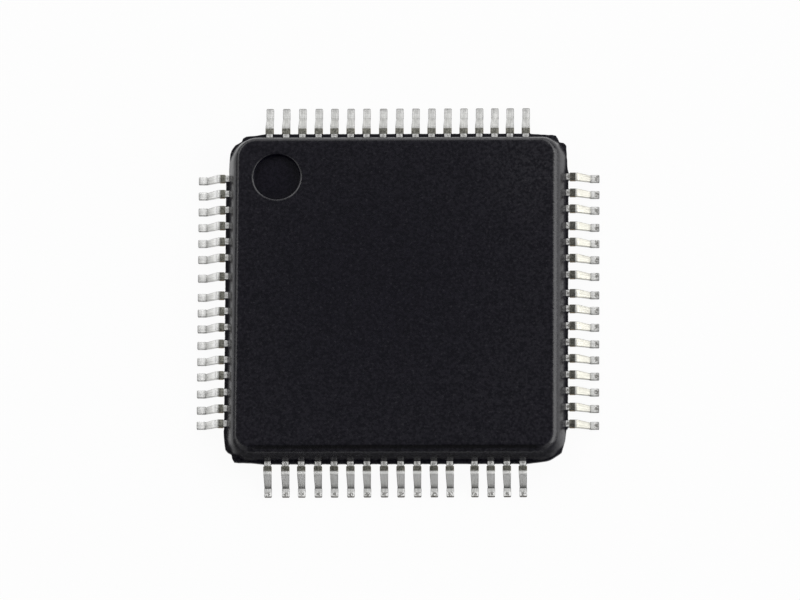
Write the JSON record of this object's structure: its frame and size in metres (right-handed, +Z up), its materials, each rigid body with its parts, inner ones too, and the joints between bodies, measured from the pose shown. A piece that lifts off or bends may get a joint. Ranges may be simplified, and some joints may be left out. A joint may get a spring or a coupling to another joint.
{
  "type": "quad flat pack chip",
  "caption": "Thin quad flat pack: a black moulded body with a round mark in one corner and bent gull-wing leads along all four sides.",
  "frame": {"origin": "on the seating plane under the feet, below the middle of the body", "axes": "+Z up through the body; +Y north and +X east, with the round mark in the north-west corner beside lead 1"},
  "size_m": [0.012, 0.012, 0.001],
  "materials": {
    "moulding_compound": "matte black epoxy moulding compound with a fine spark-eroded texture",
    "tin_plated_leads": "matte tin plate, bare and dull where the dam bar was cut",
    "lead_frame_copper": "bare copper alloy",
    "die_adhesive": "silver-filled epoxy",
    "silicon": "polished silicon",
    "gold_wire": "drawn gold wire"
  },
  "bodies": {
    "root": {"moulded_body": "moulding_compound", "die_paddle": "lead_frame_copper", "die_attach": "die_adhesive", "silicon_die": "silicon", "leads_01_02": "tin_plated_leads", "leads_03_04": "tin_plated_leads", "leads_05_06": "tin_plated_leads", "leads_07_08": "tin_plated_leads", "leads_09_10": "tin_plated_leads", "leads_11_12": "tin_plated_leads", "leads_13_14": "tin_plated_leads", "leads_15_16": "tin_plated_leads", "leads_17_18": "tin_plated_leads", "leads_19_20": "tin_plated_leads", "leads_21_22": "tin_plated_leads", "leads_23_24": "tin_plated_leads", "leads_25_26": "tin_plated_leads", "leads_27_28": "tin_plated_leads", "leads_29_30": "tin_plated_leads", "leads_31_32": "tin_plated_leads", "leads_33_34": "tin_plated_leads", "leads_35_36": "tin_plated_leads", "leads_37_38": "tin_plated_leads", "leads_39_40": "tin_plated_leads", "leads_41_42": "tin_plated_leads", "leads_43_44": "tin_plated_leads", "leads_45_46": "tin_plated_leads", "leads_47_48": "tin_plated_leads", "leads_49_50": "tin_plated_leads", "leads_51_52": "tin_plated_leads", "leads_53_54": "tin_plated_leads", "leads_55_56": "tin_plated_leads", "leads_57_58": "tin_plated_leads", "leads_59_60": "tin_plated_leads", "leads_61_62": "tin_plated_leads", "leads_63_64": "tin_plated_leads", "leads_65": "tin_plated_leads", "wires_01_04": "gold_wire", "wires_05_08": "gold_wire", "wires_09_12": "gold_wire", "wires_13_16": "gold_wire", "wires_17_20": "gold_wire", "wires_21_24": "gold_wire", "wires_25_28": "gold_wire", "wires_29_32": "gold_wire", "wires_33_36": "gold_wire", "wires_37_40": "gold_wire", "wires_41_44": "gold_wire", "wires_45_48": "gold_wire", "wires_49_52": "gold_wire", "wires_53_56": "gold_wire", "wires_57_60": "gold_wire", "wires_61_64": "gold_wire", "wires_65": "gold_wire"}
  },
  "joints": []
}
